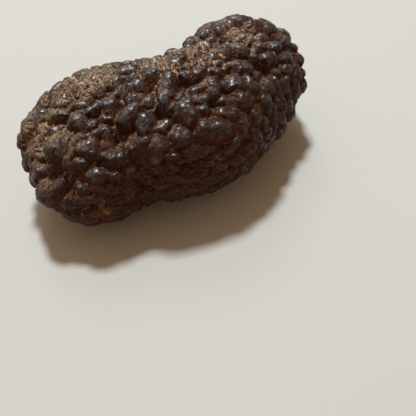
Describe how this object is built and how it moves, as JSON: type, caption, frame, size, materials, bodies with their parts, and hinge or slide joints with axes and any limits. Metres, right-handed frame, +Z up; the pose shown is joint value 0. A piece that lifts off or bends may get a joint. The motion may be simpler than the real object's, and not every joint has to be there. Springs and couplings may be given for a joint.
{
  "type": "marcasite nodule",
  "caption": "Peanut-shaped marcasite nodule crowded with blunt angular crystal knobs, dark and glossy on the crests and rusty brown in the creases.",
  "frame": {"origin": "on the surface it rests on, under the middle of the nodule's box", "axes": "+X along the nodule's length towards its rounder, smaller-knobbed lobe, +Y towards the hollow side of its waist, +Z up from its resting flat"},
  "size_m": [0.0736, 0.0427, 0.0337],
  "materials": {
    "marcasite": "dark, glossy on the knobs and dull rusty brown between them"
  },
  "bodies": {
    "root": {"nodule": "marcasite"}
  },
  "joints": []
}
